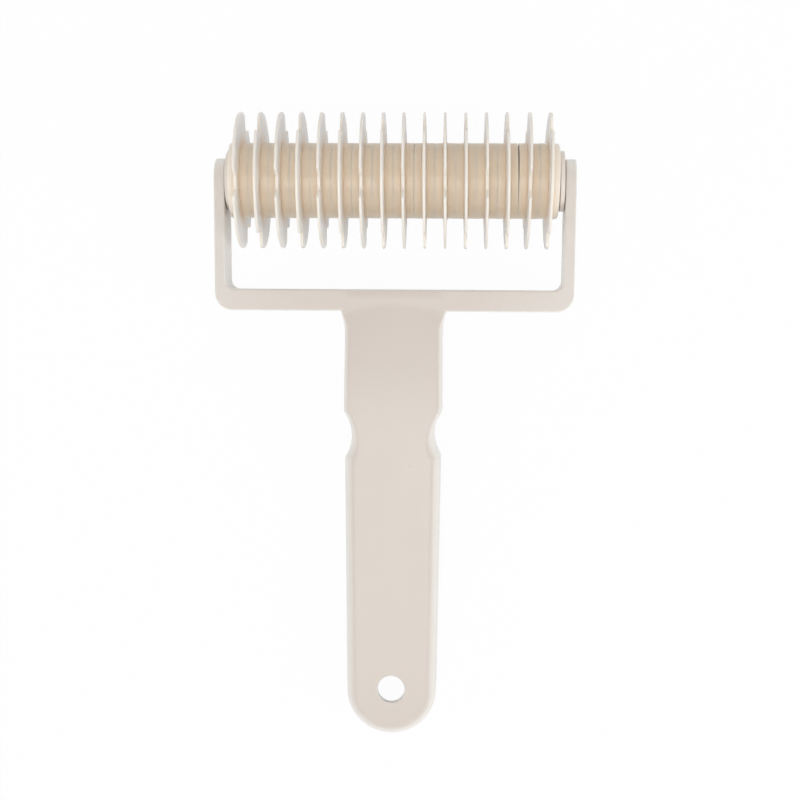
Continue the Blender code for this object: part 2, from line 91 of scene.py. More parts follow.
Pair = tuple[float, float]
Triple = tuple[float, float, float]
Corner = Sequence[float]
Rings = Sequence[Sequence[Vector]]

log = logging.getLogger("lattice_roller")


class Body(Enum):
    """The two bodies of the frame, which the roller's joint connects."""

    HANDLE = "handle"
    ROLLER = "roller"


class End(Enum):
    """An end of the roller, by the sign of its place along the shaft."""

    LEFT = -1
    RIGHT = 1


class Cut(Enum):
    """What a Boolean does with the second shape."""

    ADD = "UNION"
    REMOVE = "DIFFERENCE"
    KEEP_COMMON = "INTERSECT"


def smooth_step(share: float) -> float:
    """Return a share, held between 0 and 1, with soft ends."""
    share = min(max(share, 0.0), 1.0)
    return share * share * (3 - 2 * share)


def soft_start(value: float, length: float) -> float:
    """Return a ramp of slope 1 that leaves zero along a parabola of the given length."""
    bend = min(max(value, 0.0), length)
    return bend * bend / (2 * length) + max(value - length, 0.0)


def soft_share(share: float, softness: float) -> float:
    """Return a share held between 0 and 1; each corner is rounded by softness to both sides."""
    rise = soft_start(share + softness, 2 * softness)
    return rise - soft_start(share - 1 + softness, 2 * softness)


def spread(start: float, end: float, steps: int) -> list[float]:
    """Return evenly spaced values from start up to, and without, end."""
    return [start + (end - start) * i / steps for i in range(steps)]


def stops(start: float, end: float, steps: int) -> list[float]:
    """Return evenly spaced values from start to end, with both."""
    return [*spread(start, end, steps), end]


def arc(centre: Pair, radius: float, start: float, end: float, steps: int) -> list[Pair]:
    """Return points on an arc from one angle to another, with both ends."""
    angles = stops(start, end, steps)
    return [(centre[0] + radius * math.cos(a), centre[1] + radius * math.sin(a)) for a in angles]


def run(start: Pair, end: Pair, steps: int, dip: float = 0.0) -> list[Pair]:
    """Return evenly spaced points on the way from one point to another.

    Args:
        start: The first point, which is left out.
        end: The last point, which is kept.
        steps: How many points there are.
        dip: How far the middle of the way bends towards x = 0.

    Returns:
        The points.
    """
    ahead = (end[0] - start[0], end[1] - start[1])
    shares = stops(0.0, 1.0, steps)[1:]
    bends = [dip * (1 - (2 * share - 1) ** 2) for share in shares]
    return [(start[0] + ahead[0] * s - b, start[1] + ahead[1] * s) for s, b in zip(shares, bends)]


def mirrored(points: Sequence[Pair]) -> list[Pair]:
    """Return points in reverse order on the other side of x = 0."""
    return [(-x, other) for x, other in reversed(points)]


def hexagon_radius(across_flats: float, angle: float) -> float:
    """Return a hexagon's radius at an angle; it has a corner at angle 0."""
    sixth = math.pi / 3
    return across_flats / 2 / math.cos(angle % sixth - sixth / 2)


def mesh_from(name: str, fill: Callable[[BMesh], None]) -> Mesh:
    """Make a mesh and point its faces outward.

    Args:
        name: The mesh's name.
        fill: A function that fills an empty bmesh.

    Returns:
        The new mesh.
    """
    shape = bmesh.new()
    fill(shape)
    bmesh.ops.recalc_face_normals(shape, faces=shape.faces)
    mesh = bpy.data.meshes.new(name)
    shape.to_mesh(mesh)
    shape.free()
    return mesh


def join_rings(shape: BMesh, rings: Rings) -> list[list[Any]]:
    """Join closed rings of points, one after another, and leave both ends open.

    Args:
        shape: The bmesh to fill.
        rings: The rings, with as many points each.

    Returns:
        The new vertices, ring by ring.
    """
    rows = [[shape.verts.new(point) for point in ring] for ring in rings]
    count = len(rows[0])
    for low, high in zip(rows, rows[1:]):
        for i in range(count):
            j = (i + 1) % count
            shape.faces.new((low[i], low[j], high[j], high[i]))
    return rows


def solids_mesh(name: str, stacks: Sequence[Rings]) -> Mesh:
    """Make separate solids, each from rings of points and a cap at both ends.

    Args:
        name: The mesh's name.
        stacks: The rings of each solid, from one end to the other.

    Returns:
        One mesh with all the solids.
    """

    def fill(shape: BMesh) -> None:
        """Join the rings of each solid and cap them.

        Args:
            shape: The bmesh to fill.
        """
        for rings in stacks:
            rows = join_rings(shape, rings)
            shape.faces.new(rows[0])
            shape.faces.new(rows[-1])

    return mesh_from(name, fill)


def slab(outline: Sequence[Pair], levels: Pair) -> Rings:
    """Return the rings of a slab between two levels."""
    return [[Vector((x, y, level)) for x, y in outline] for level in levels]


def box(low: Corner, high: Corner) -> Rings:
    """Return the rings of a box."""
    outline = [(low[0], low[1]), (high[0], low[1]), (high[0], high[1]), (low[0], high[1])]
    return slab(outline, (low[2], high[2]))


def turned_mesh(
    name: str, section: Callable[[float], list[Pair]], angles: Sequence[float], bored: bool
) -> Mesh:
    """Turn a section about X; the section may change with the angle.

    Args:
        name: The mesh's name.
        section: Gives the points (place along X, radius) of the section at an angle.
        angles: The angles of the sections, once round.
        bored: Whether the section closes on itself, as it does round a bore.

    Returns:
        The closed mesh.
    """

    def fill(shape: BMesh) -> None:
        """Join neighbouring sections with quads.

        Args:
            shape: The bmesh to fill.
        """
        rows = [
            [shape.verts.new((x, r * math.cos(a), r * math.sin(a))) for x, r in section(a)]
            for a in angles
        ]
        count = len(rows[0])
        for this, following in zip(rows, rows[1:] + rows[:1]):
            for i in range(count if bored else count - 1):
                j = (i + 1) % count
                shape.faces.new((this[i], this[j], following[j], following[i]))
        if not bored:
            for end in (0, -1):
                shape.faces.new([row[end] for row in rows])

    return mesh_from(name, fill)


def put(name: str, data: ID) -> Object:
    """Put a mesh, a lamp or a camera in the scene.

    Args:
        name: The new object's name.
        data: What the object shows.

    Returns:
        The new object, at the origin.
    """
    thing = bpy.data.objects.new(name, data)
    bpy.context.scene.collection.objects.link(thing)
    return thing


def modify(piece: Object, kind: str, **settings: Any) -> None:
    """Give an object a modifier.

    Args:
        piece: The object.
        kind: The modifier's type.
        **settings: The modifier's settings.
    """
    modifier = piece.modifiers.new(kind.lower(), kind)
    for name, value in settings.items():
        setattr(modifier, name, value)


def modified(mesh: Mesh, kind: str, **settings: Any) -> Mesh:
    """Return a mesh as a modifier changes it.

    Args:
        mesh: The mesh.
        kind: The modifier's type.
        **settings: The modifier's settings.

    Returns:
        The changed mesh.
    """
    piece = put(mesh.name, mesh)
    modify(piece, kind, **settings)
    bpy.context.view_layer.update()
    depsgraph = bpy.context.evaluated_depsgraph_get()
    changed = bpy.data.meshes.new_from_object(piece.evaluated_get(depsgraph))
    bpy.data.objects.remove(piece, do_unlink=True)
    return changed


def combined(mesh: Mesh, cut: Cut, *others: Mesh) -> Mesh:
    """Return a mesh that was combined with others, one after another.

    Args:
        mesh: The first shape.
        cut: What to do with each of the other shapes.
        *others: The other shapes.

    Returns:
        The combined mesh.
    """
    for other in others:
        second = put(other.name, other)
        mesh = modified(mesh, "BOOLEAN", operation=cut.value, solver="EXACT", object=second)
        bpy.data.objects.remove(second, do_unlink=True)
    return mesh


class Wire:
    """A node's output that takes part in arithmetic; each operator adds its Math node."""

    def __init__(self, graph: Graph, socket: NodeSocket) -> None:
        """Keep the socket and the graph that it is in."""
        self.graph = graph
        self.socket = socket

    def __add__(self, other: Wire | float) -> Wire:
        """Return self + other."""
        return self.graph.math("ADD", self, other)

    def __sub__(self, other: Wire | float) -> Wire:
        """Return self - other."""
        return self.graph.math("SUBTRACT", self, other)

    def __rsub__(self, other: float) -> Wire:
        """Return other - self."""
        return self.graph.math("SUBTRACT", other, self)

    def __mul__(self, other: Wire | float) -> Wire:
        """Return self * other."""
        return self.graph.math("MULTIPLY", self, other)

    __radd__ = __add__
    __rmul__ = __mul__

    def held(self) -> Wire:
        """Return the value held between 0 and 1."""
        return self.graph.add("ShaderNodeClamp", {"Value": self})["Result"]

    def share(self, start: float, end: float) -> Wire:
        """Return a share that grows from 0 at one value to 1 at another."""
        return ((self - start) * (1 / (end - start))).held()

    def part(self, axis: str) -> Wire:
        """Return one part of a vector."""
        return self.graph.add("ShaderNodeSeparateXYZ", {"Vector": self})[axis]


class Graph:
    """The nodes of a material or of the world."""

    MIX_FACTOR = 0
    MIX_FIRST_COLOUR = 6
    MIX_SECOND_COLOUR = 7

    def __init__(self, owner: Material | World) -> None:
        """Start with an empty node tree.

        Args:
            owner: The material or world that the nodes are for.
        """
        owner.use_nodes = True
        self.tree = owner.node_tree
        self.tree.nodes.clear()

    @property
    def place(self) -> Wire:
        """The place in the piece's own frame, where the shaft runs along X."""
        return self.add("ShaderNodeTexCoord")["Object"]

    @property
    def facing(self) -> Wire:
        """The way that the surface faces, in the piece's own frame."""
        return self.add("ShaderNodeTexCoord")["Normal"]

    def add(
        self, kind: str, sockets: Mapping[str | int, Any] | None = None, **settings: Any
    ) -> dict[str, Wire]:
        """Add a node.

        Args:
            kind: The node's type.
            sockets: Values or wires for its inputs, by name or number.
            **settings: The node's own settings, which are set first.

        Returns:
            The node's outputs, by their identifiers.
        """
        node = self.tree.nodes.new(kind)
        for name, value in settings.items():
            setattr(node, name, value)
        for key, value in (sockets or {}).items():
            socket = node.inputs[key]
            if isinstance(value, Wire):
                self.tree.links.new(value.socket, socket)
            elif socket.type == "RGBA":
                socket.default_value = (*value, 1.0)
            else:
                socket.default_value = value
        return {output.identifier: Wire(self, output) for output in node.outputs}

    def math(self, operation: str, first: Wire | float, second: Wire | float) -> Wire:
        """Return the result of a Math node."""
        return self.add("ShaderNodeMath", {0: first, 1: second}, operation=operation)["Value"]

    def blend(self, factor: Wire | float, first: Wire | Triple, second: Wire | Triple) -> Wire:
        """Return a colour between two others: factor 0 gives the first and 1 the second."""
        ends = {self.MIX_FACTOR: factor, self.MIX_FIRST_COLOUR: first, self.MIX_SECOND_COLOUR: second}
        return self.add("ShaderNodeMix", ends, data_type="RGBA")["Result_Color"]

    def noise(self, place: Wire, scale: float, detail: float) -> Wire:
        """Return a noise from 0 to 1 with scale features in a metre and finer layers to add detail."""
        sockets = {"Vector": place, "Scale": scale, "Detail": detail}
        return self.add("ShaderNodeTexNoise", sockets)["Fac"]


@dataclass(frozen=True)
class MouldedPlastic:
    """A cream moulded plastic with a slow change of tone, flow marks and a fine grain; it may also
    carry painted light: a highlight on edges, paler sides and whiter blade tips.
    """

    FLAT_POINTINESS: ClassVar[float] = 0.5

    name: str
    colour: Triple
    deeper: Triple
    # The edge colour is a painted highlight on edges and on surfaces that face sideways.
    edge: Triple
    roughness: float
    cloud_scale: float = 42.0
    cloud_detail: float = 2.0
    flow_stretch: Triple = (90.0, 14.0, 90.0)
    flow_detail: float = 3.0
    flow_share: float = 0.35
    tone_gain: float = 2.0
    edge_highlight_gain: float = 6.0
    edge_highlight_share: float = 0.5
    pale_sides: bool = False
    # The pale fields paint light: paler far from the middle, or towards one end where pale_end is set.
    pale_from: float = 0.0
    pale_to: float = 1.0
    pale_share: float = 0.0
    pale_colour: Triple = (0.885, 0.850, 0.800)
    pale_end: float = 0.0
    grain_scale: float = 2400.0
    grain_height: float = 0.006 * MM
    wave_scale: float = 260.0
    wave_height: float = 0.012 * MM
    fine_detail: float = 1.0
    roughness_change: float = 0.08
    bending_of_light: float = 1.49
    translucence: float = 0.0
    light_reach: float = 3.0 * MM
    light_tint: Triple = (1.0, 0.95, 0.9)
    # Painted light: a blade's outer part turns whiter, for light shining through the thin plastic and
    # the white room seen on its faces.
    through_light_colour: Triple | None = None
    through_light_from: float = 0.0
    through_light_to: float = 1.0
    rim_painted_through_light: float = 0.4

    def painted_through_light(self, graph: Graph) -> Wire:
        """Return how much painted light a blade has at a place: a whiter tone for light shining through
        its thin outer part and for the white room seen on its faces.

        Args:
            graph: The material's graph.

        Returns:
            A share that grows from 0 at the root to 1 at the edge, and less on the rim.
        """
        off_shaft = {0: graph.place, 1: (0.0, 1.0, 1.0)}
        across = graph.add("ShaderNodeVectorMath", off_shaft, operation="MULTIPLY")["Vector"]
        radius = graph.add("ShaderNodeVectorMath", {0: across}, operation="LENGTH")["Value"]
        sideways = graph.facing.part("X")
        flat = self.rim_painted_through_light + (1 - self.rim_painted_through_light) * sideways * sideways
        return radius.share(self.through_light_from, self.through_light_to) * flat

    def painted_side_light(self, graph: Graph) -> Wire:
        """Return how much painted light makes a place paler for being far from the piece's middle.

        Args:
            graph: The material's graph.

        Returns:
            A share that grows to either side, or to one where pale_end is -1 or 1.
        """
        along = graph.place.part("X")
        apart = along * self.pale_end if self.pale_end else graph.math("ABSOLUTE", along, 0.0)
        return apart.share(self.pale_from, self.pale_to) * self.pale_share

    def painted_edge_highlight(self, graph: Graph) -> Wire:
        """Return how much painted highlight a place has: the paler edge colour that stands in for light
        caught on edges.

        Args:
            graph: The material's graph.

        Returns:
            A share that grows as the surface turns away from the front, painting the white room that
            the sides reflect, or else on sharp edges, painting the light that they catch.
        """
        if self.pale_sides:
            ahead = graph.facing.part("Z")
            sharp = 1 - ahead * ahead
        else:
            sharp = graph.add("ShaderNodeNewGeometry")["Pointiness"] - self.FLAT_POINTINESS
        return (sharp * self.edge_highlight_gain).held() * self.edge_highlight_share

    def material(self) -> Material:
        """Make the plastic's material.

        Returns:
            A material with nodes for tone, roughness and surface.
        """
        material = bpy.data.materials.new(self.name)
        graph = Graph(material)
        place = graph.place
        along = graph.add("ShaderNodeMapping", {"Vector": place, "Scale": self.flow_stretch})
        cloud = graph.noise(place, self.cloud_scale, self.cloud_detail)
        flow = graph.noise(along["Vector"], 1.0, self.flow_detail)
        grain = graph.noise(place, self.grain_scale, self.fine_detail)
        wave = graph.noise(place, self.wave_scale, self.fine_detail)

        tone = cloud * (1 - self.flow_share) + flow * self.flow_share
        depth = ((0.5 - tone) * self.tone_gain + 0.5).held()
        colour = graph.blend(depth, self.colour, self.deeper)
        # Painted light: the handle's bar ends and arms, and the outer ends of the end wheels' hubs, are
        # made paler, where more light reaches them.
        if self.pale_share:
            colour = graph.blend(self.painted_side_light(graph), colour, self.pale_colour)
        # Painted highlight: edges, and with pale_sides the surfaces that face sideways, are made paler.
        colour = graph.blend(self.painted_edge_highlight(graph), colour, self.edge)
        # Painted light: the blades' outer parts turn whiter, for light shining through them and the
        # white room seen on their faces.
        if self.through_light_colour:
            colour = graph.blend(self.painted_through_light(graph), colour, self.through_light_colour)

        height = grain * self.grain_height + wave * self.wave_height
        bump = graph.add("ShaderNodeBump", {"Strength": 1.0, "Distance": 1.0, "Height": height})
        surface = {
            "Base Color": colour,
            "Roughness": self.roughness + (wave - 0.5) * self.roughness_change,
            "Normal": bump["Normal"],
            "IOR": self.bending_of_light,
            "Subsurface Weight": self.translucence,
            "Subsurface Radius": self.light_tint,
            "Subsurface Scale": self.light_reach,
        }
        shader = graph.add("ShaderNodeBsdfPrincipled", surface)
        graph.add("ShaderNodeOutputMaterial", {"Surface": shader["BSDF"]})
        return material


HANDLE_CREAM = MouldedPlastic(
    name="cream_handle_plastic",
    colour=(0.690, 0.616, 0.552),
    deeper=(0.668, 0.594, 0.530),
    # Painted highlight: the rounded sides are paler, for the white room that they reflect.
    edge=(0.885, 0.850, 0.800),
    roughness=0.30,
    edge_highlight_gain=1.9,
    edge_highlight_share=1.0,
    pale_sides=True,
    # Painted light: the bar's ends and the arms are paler, where more light falls.
    pale_from=28.0 * MM,
    pale_to=56.0 * MM,
    pale_share=0.32,
)
# The wheels' cream is brighter and warmer than the handle's: partly the plastic's own tone, partly
# painted light for the warm light bounced between the blades into the grooves.
WHEEL_CREAM = MouldedPlastic(
    name="cream_wheel_plastic",
    colour=(0.905, 0.765, 0.605),
    deeper=(0.890, 0.745, 0.580),
    # Painted highlight: the blades' rims are paler, for the light that they catch.
    edge=(0.920, 0.815, 0.695),
    roughness=0.32,
    cloud_scale=70.0,
    edge_highlight_gain=24.0,
    edge_highlight_share=0.9,
    translucence=0.7,
    light_reach=1.0 * MM,
    # Painted light: the blades turn whiter towards their edges, for light shining through them.
    through_light_colour=(0.915, 0.900, 0.880),
    through_light_from=12.1 * MM,
    through_light_to=15.5 * MM,
)
END_WHEEL_CREAMS = {
    end: replace(
        WHEEL_CREAM,
        name=f"cream_{end.name.lower()}_wheel_plastic",
        # Painted light: the hub's outer end is paler, out of the grooves' shade.
        pale_from=0.9 * MM,
        pale_to=2.2 * MM,
        pale_share=0.75,
        pale_colour=(0.930, 0.870, 0.800),
        pale_end=end.value,
    )
    for end in End
}
CAP_CREAM = MouldedPlastic(
    name="cream_cap_plastic",
    colour=(0.820, 0.750, 0.680),
    deeper=(0.800, 0.730, 0.660),
    # Painted highlight: sharp edges are a little paler.
    edge=(0.840, 0.790, 0.740),
    roughness=0.32,
    cloud_scale=70.0,
)
SHAFT_CREAM = MouldedPlastic(
    name="cream_shaft_plastic",
    colour=(0.720, 0.590, 0.450),
    deeper=(0.695, 0.560, 0.420),
    # Painted highlight: sharp edges are a little paler.
    edge=(0.760, 0.665, 0.560),
    roughness=0.38,
    cloud_scale=60.0,
)


@dataclass(frozen=True)
class ToolSizes:
    """The sizes that more than one piece follows."""

    wheel_count: int = 16
    wheel_pitch: float = 6.54 * MM
    stack_play: float = 0.65 * MM
    wheel_radius: float = 21.65 * MM
    first_notch_at: float = -20.0 * DEGREE
    notches: int = 3
    core_across_flats: float = 10.0 * MM
    key_gap: float = 0.3 * MM
    journal_radius: float = 3.0 * MM
    bearing_gap: float = 0.3 * MM
    end_gap: float = 0.3 * MM
    cap_thickness: float = 1.1 * MM
    arm_thickness: float = 3.4 * MM
    fork_half_depth: float = 7.0 * MM
    bar_top: float = -34.8 * MM
    bar_height: float = 6.85 * MM
    handle_length: float = 137.5 * MM

    @property
    def bore_across_flats(self) -> float:
        """The width of the wheels' and the caps' bores."""
        return self.core_across_flats + 2 * self.key_gap

    @property
    def cap_inner_face(self) -> float:
        """How far the caps' inner faces are from the middle."""
        return (self.wheel_count * self.wheel_pitch + self.stack_play + self.end_gap) / 2

    @property
    def cap_outer_face(self) -> float:
        """How far the caps' outer faces are from the middle."""
        return self.cap_inner_face + self.cap_thickness

    @property
    def arm_inner_face(self) -> float:
        """How far the arms' inner faces are from the middle, at the shaft."""
        return self.cap_outer_face + self.end_gap

    @property
    def arm_outer_face(self) -> float:
        """How far the arms' outer faces are from the middle, at the shaft."""
        return self.arm_inner_face + self.arm_thickness

    @property
    def bar_bottom(self) -> float:
        """Where the bar's lower side is along the handle."""
        return self.bar_top - self.bar_height

    @property
    def handle_end(self) -> float:
        """Where the handle's far end is."""
        return self.bar_bottom - self.handle_length

    @property
    def rest_tilt(self) -> float:
        """The tool's tilt about its shaft.

        Returns:
            The angle that puts both the wheels and the handle's far end on the table.
        """
        reach = math.hypot(self.handle_end, self.fork_half_depth)
        lean = math.atan2(self.fork_half_depth, -self.handle_end)
        return math.asin(self.wheel_radius / reach) - lean


@dataclass(frozen=True)
class Placement:
    """Where the tool lies."""

    shaft: Vector
    tilt: float

    @classmethod
    def from_frame(cls, frame: Mapping[str, Any], sizes: ToolSizes) -> Placement:
        """Read the shaft's place from the roller's joint in the loaded frame."""
        return cls(Vector(frame["joints"][0]["pos_m"]), sizes.rest_tilt)

    @property
    def handle(self) -> Matrix:
        """The place of the handle's own frame."""
        return Matrix.Translation(self.shaft) @ Matrix.Rotation(self.tilt, 4, "X")

    def on_shaft(self, along: float, turn: float = 0.0) -> Matrix:
        """Return a place on the shaft, at a place along X and turned about the shaft."""
        return Matrix.Translation((along, *self.shaft.yz)) @ Matrix.Rotation(turn, 4, "X")


@dataclass
class Assembly:
    """What every part of the tool has: its sizes, its place, its plastic, its body and its slot, which
    is not used.
    """

    sizes: ToolSizes
    placement: Placement
    finish: Material
    body: Body = Body.ROLLER
    slot: str = "wheel_plastic"
    sharp_over: float = 40.0 * DEGREE

    def show(self, name: str, solid: str, mesh: Mesh, place: Matrix) -> Object:
        """Put a piece in place of its solid, with its steeper edges sharp.

        Its turn goes into the mesh, and the object itself is only moved.

        Args:
            name: The piece's name.
            solid: The solid that it replaces.
            mesh: The piece's mesh, in its own frame.
            place: Where it goes.

        Returns:
            The new object.
        """
        mesh.shade_smooth()
        mesh.set_sharp_from_angle(angle=self.sharp_over)
        mesh.transform(place.to_3x3().to_4x4())
        mesh.materials.clear()
        mesh.materials.append(self.finish)
        piece = put(name, mesh)
        piece.location = place.translation
        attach(piece, self.body.value)
        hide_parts(solid)
        return piece

    def build(self) -> list[Object]:
        """Model the assembly's pieces and put them in place."""
        raise NotImplementedError


@dataclass
class HandleMoulding(Assembly):
    """The fork and the handle, one moulding that is open at the back."""

    body: Body = Body.HANDLE
    slot: str = "handle_plastic"
    arm_splay: float = 0.3 * MM
    outer_corner: float = 5.7 * MM
    inner_corner: float = 3.0 * MM
    fork_edge: float = 0.6 * MM
    fork_edge_steps: int = 5
    fork_edges_over: float = 50.0 * DEGREE
    bar_wall: float = 2.0 * MM
    neck_half_width: float = 15.55 * MM
    neck_flare: float = 1.25 * MM
    neck_flare_length: float = 7.4 * MM
    shoulder_half_width: float = 15.7 * MM
    waist_from_bar: float = 31.9 * MM
    waist_length: float = 15.3 * MM
    waist_depth: float = 2.35 * MM
    rise_length: float = 39.0 * MM
    grip_top_half_width: float = 15.4 * MM
    grip_end_half_width: float = 14.45 * MM
    hole_from_end: float = 15.1 * MM
    hole_radius: float = 4.4 * MM
    hole_edge: float = 0.5 * MM
    hole_blend: float = 0.6 * MM
    hole_dip: float = 0.01 * MM
    wall: float = 2.4 * MM
    neck_edge: float = 1.8 * MM
    grip_edge: float = 3.4 * MM
    back_edge: float = 0.5 * MM
    neck_arch: float = 3.3 * MM
    arch_blend: float = 2.5 * MM
    neck_rise: float = 2.2 * MM
    grip_rise: float = 2.0 * MM
    rib_thickness: float = 1.6 * MM
    rib_recess: float = 1.5 * MM
    longest_rib_cell: float = 18.8 * MM
    rib_from_hole: float = 9.8 * MM
    mouth_rounding: float = 0.25 * MM
    edge_fade: float = 1.6 * MM
    bearing_chamfer: float = 0.2 * MM
    corner_steps: int = 14
    edge_steps: int = 8
    mouth_steps: int = 3
    back_edge_steps: int = 4
    flare_steps: int = 12
    neck_steps: int = 24
    waist_steps: int = 28
    grip_steps: int = 18
    end_steps: int = 28
    bore_sides: int = 64
    arch_rows: int = 14
    neck_columns: int = 28
    large_face_weight: int = 60

    @property
    def root_half_width(self) -> float:
        """Half the neck's width at the bar."""
        return self.neck_half_width + self.neck_flare

    @property
    def end_centre(self) -> float:
        """Where the centre of the handle's round end is."""
        return self.sizes.handle_end + self.grip_end_half_width

    @property
    def hole_at(self) -> float:
        """Where the hanging hole's centre is along the handle."""
        return self.sizes.handle_end + self.hole_from_end

    def front_rise(self, x: float, place: float) -> float:
        """Return how far the handle's front stands above the bar's face.

        It leaves the bar's face softly along an arch, is highest in the waist
        and is a little lower along the grip.

        Args:
            x: The distance from the middle plane.
            place: The place along the handle.

        Returns:
            The rise.
        """
        down = self.sizes.bar_bottom - place
        arch = self.neck_arch * max(1 - (x / self.root_half_width) ** 2, 0.0)
        whole = self.rise_length + arch - self.arch_blend / 2
        share = min(soft_start(down + arch, self.arch_blend) / whole, 1.0)
        fall = (self.neck_rise - self.grip_rise) * self.waist_share(place)
        return self.neck_rise * math.sin(QUARTER * share) - fall

    def waist_share(self, place: float) -> float:
        """Return how far a place is through the waist, from 0 to 1, with soft ends."""
        return smooth_step((self.sizes.bar_bottom - place - self.waist_from_bar) / self.waist_length)

    def edge_radius(self, place: float) -> float:
        """Return the front edge's radius, which grows from the bar to the neck and to the grip.

        Args:
            place: The place along the handle.

        Returns:
            The radius.
        """
        flare = smooth_step((self.sizes.bar_bottom - place) / self.neck_flare_length)
        neck = self.fork_edge + (self.neck_edge - self.fork_edge) * flare
        return neck + (self.grip_edge - self.neck_edge) * self.waist_share(place)

    def side(self, start: float) -> list[Pair]:
        """Return the handle's right side.

        Args:
            start: Where the side starts, at the bar's lower side or inside the bar.

        Returns:
            Points (half width, place) from the start to the far end's tip.
        """
        bar = self.sizes.bar_bottom
        flare_end = bar - self.neck_flare_length
        waist_top = bar - self.waist_from_bar
        flare_radius = (self.neck_flare_length**2 + self.neck_flare**2) / (2 * self.neck_flare)
        flare_centre = (self.neck_half_width + flare_radius, flare_end)
        flare_angle = math.pi - math.asin(self.neck_flare_length / flare_radius)
        neck = (self.neck_half_width, flare_end)
        shoulder = (self.shoulder_half_width, waist_top)
        grip = (self.grip_top_half_width, waist_top - self.waist_length)
        end = (self.grip_end_half_width, self.end_centre)
        points = [(self.root_half_width, start)] if start > bar else []
        points += arc(flare_centre, flare_radius, flare_angle, math.pi, self.flare_steps)
        points += run(neck, shoulder, self.neck_steps)
        points += run(shoulder, grip, self.waist_steps, self.waist_depth)
        points += run(grip, end, self.grip_steps)
        tip = arc((0.0, self.end_centre), self.grip_end_half_width, 0.0, -QUARTER, self.end_steps)
        return points + tip[1:]

    def inset(self, side: Sequence[Pair], insets: Sequence[float]) -> list[Pair]:
        """Move each point of a side inwards.

        Along the straight sides and the waist the points move level, so that
        they can't cross where the waist has its corners.

        Args:
            side: The side's points, which end on the middle plane.
            insets: How far the side moves, square to itself.

        Returns:
            The moved points.
        """
        moved = []
        for i, (x, y) in enumerate(side):
            before = side[max(i - 1, 0)]
            after = side[i + 1] if i + 1 < len(side) else (-side[i - 1][0], side[i - 1][1])
            along = Vector((after[0] - before[0], after[1] - before[1])).normalized()
            if y > self.end_centre:
                moved.append((x + insets[i] / along.y, y))
            else:
                moved.append((x + along.y * insets[i], y - along.x * insets[i]))
        return moved

    def rings(self, start: float, back: float, wall: float) -> Rings:
        """Return the rings of the handle, or of its hollow where wall is over 0.

        Args:
            start: Where the handle starts.
            back: The level of its back.
            wall: How far the rings are inside the outer surface.

        Returns:
            The rings from back to front.
        """
        side = self.side(start)
        front = self.sizes.fork_half_depth
        radii = [max(self.edge_radius(y) - wall, self.back_edge) for _, y in side]
        if wall:
            rim_wall = wall - self.mouth_rounding
            centre = (rim_wall, self.mouth_rounding - front)
            insets = [(rim_wall, back)]
            insets += arc(centre, self.mouth_rounding, -QUARTER, 0.0, self.mouth_steps)
        else:
            centre = (self.back_edge, back + self.back_edge)
            insets = arc(centre, self.back_edge, -QUARTER, -math.pi, self.back_edge_steps)
        loops = [([inset] * len(side), [level] * len(side)) for inset, level in insets]
        for angle in stops(0.0, QUARTER, self.edge_steps):
            inward = [wall + radius * (1 - math.cos(angle)) for radius in radii]
            loops.append((inward, [front - wall - radius * (1 - math.sin(angle)) for radius in radii]))
        if not wall:
            loops.append(([radius + self.edge_fade for radius in radii], [front] * len(side)))
        rings = [
            [Vector((*point, level)) for point, level in zip(self.inset(side, inward), levels)]
            for inward, levels in loops
        ]
        if not wall:
            rings[-1][0].y = start - self.edge_fade
        mirror = Vector((-1.0, 1.0, 1.0))
        return [ring + [point * mirror for point in reversed(ring[:-1])] for ring in rings]

    def handle_mesh(self, name: str, start: float, back: float, wall: float) -> Mesh:
        """Make the handle's outer body, or the hollow inside its wall.

        Args:
            name: The mesh's name.
            start: Where the handle starts.
            back: The level of its back.
            wall: How far the surface is inside the outer one.

        Returns:
            The closed mesh.
        """

        def fill(shape: BMesh) -> None:
            """Join the rings and close back and front with rungs from side to side.

            Args:
                shape: The bmesh to fill.
            """
            rows = join_rings(shape, self.rings(start, back, wall))
            for row in (rows[0], rows[-1]):
                tip = len(row) // 2
                for i in range(tip - 1):
                    shape.faces.new((row[i], row[i + 1], row[-2 - i], row[-1 - i]))
                shape.faces.new((row[tip - 1], row[tip], row[tip + 1]))

        return mesh_from(name, fill)

    def arm_face(self, face: float, place: float) -> float:
        """Return an arm face's half width at a place; the arms splay towards the shaft."""
        return face - self.arm_splay * place / self.sizes.bar_top

    def fork_mesh(self) -> Mesh:
        """Make the fork's outline.

        Returns:
            A slab that is deeper than the fork.
        """
        sizes = self.sizes
        tip = sizes.fork_half_depth + PAST
        outer = self.arm_face(sizes.arm_outer_face, sizes.bar_top)
        inner = self.arm_face(sizes.arm_inner_face, sizes.bar_top)
        outer_centre = (outer - self.outer_corner, sizes.bar_bottom + self.outer_corner)
        inner_centre = (inner - self.inner_corner, sizes.bar_top + self.inner_corner)
        side = arc(outer_centre, self.outer_corner, -QUARTER, 0.0, self.corner_steps)
        side.append((self.arm_face(sizes.arm_outer_face, tip), tip))
        side.append((self.arm_face(sizes.arm_inner_face, tip), tip))
        side += arc(inner_centre, self.inner_corner, 0.0, -QUARTER, self.corner_steps)
        return solids_mesh("fork", [slab(side + mirrored(side), (-tip, tip))])

    def side_view_mesh(self) -> Mesh:
        """Make the fork's side view: flat front and back, and arm ends round the shaft.

        Returns:
            A block that is wider than the fork.
        """
        half = self.sizes.fork_half_depth
        beyond = self.sizes.bar_bottom - PAST
        reach = self.sizes.arm_outer_face + 2 * PAST
        outline = arc((0.0, 0.0), half, -QUARTER, QUARTER, 2 * self.corner_steps)
        outline += [(beyond, half), (beyond, -half)]
        rings = [[Vector((x, y, z)) for y, z in outline] for x in (-reach, reach)]
        return solids_mesh("side_view", [rings])

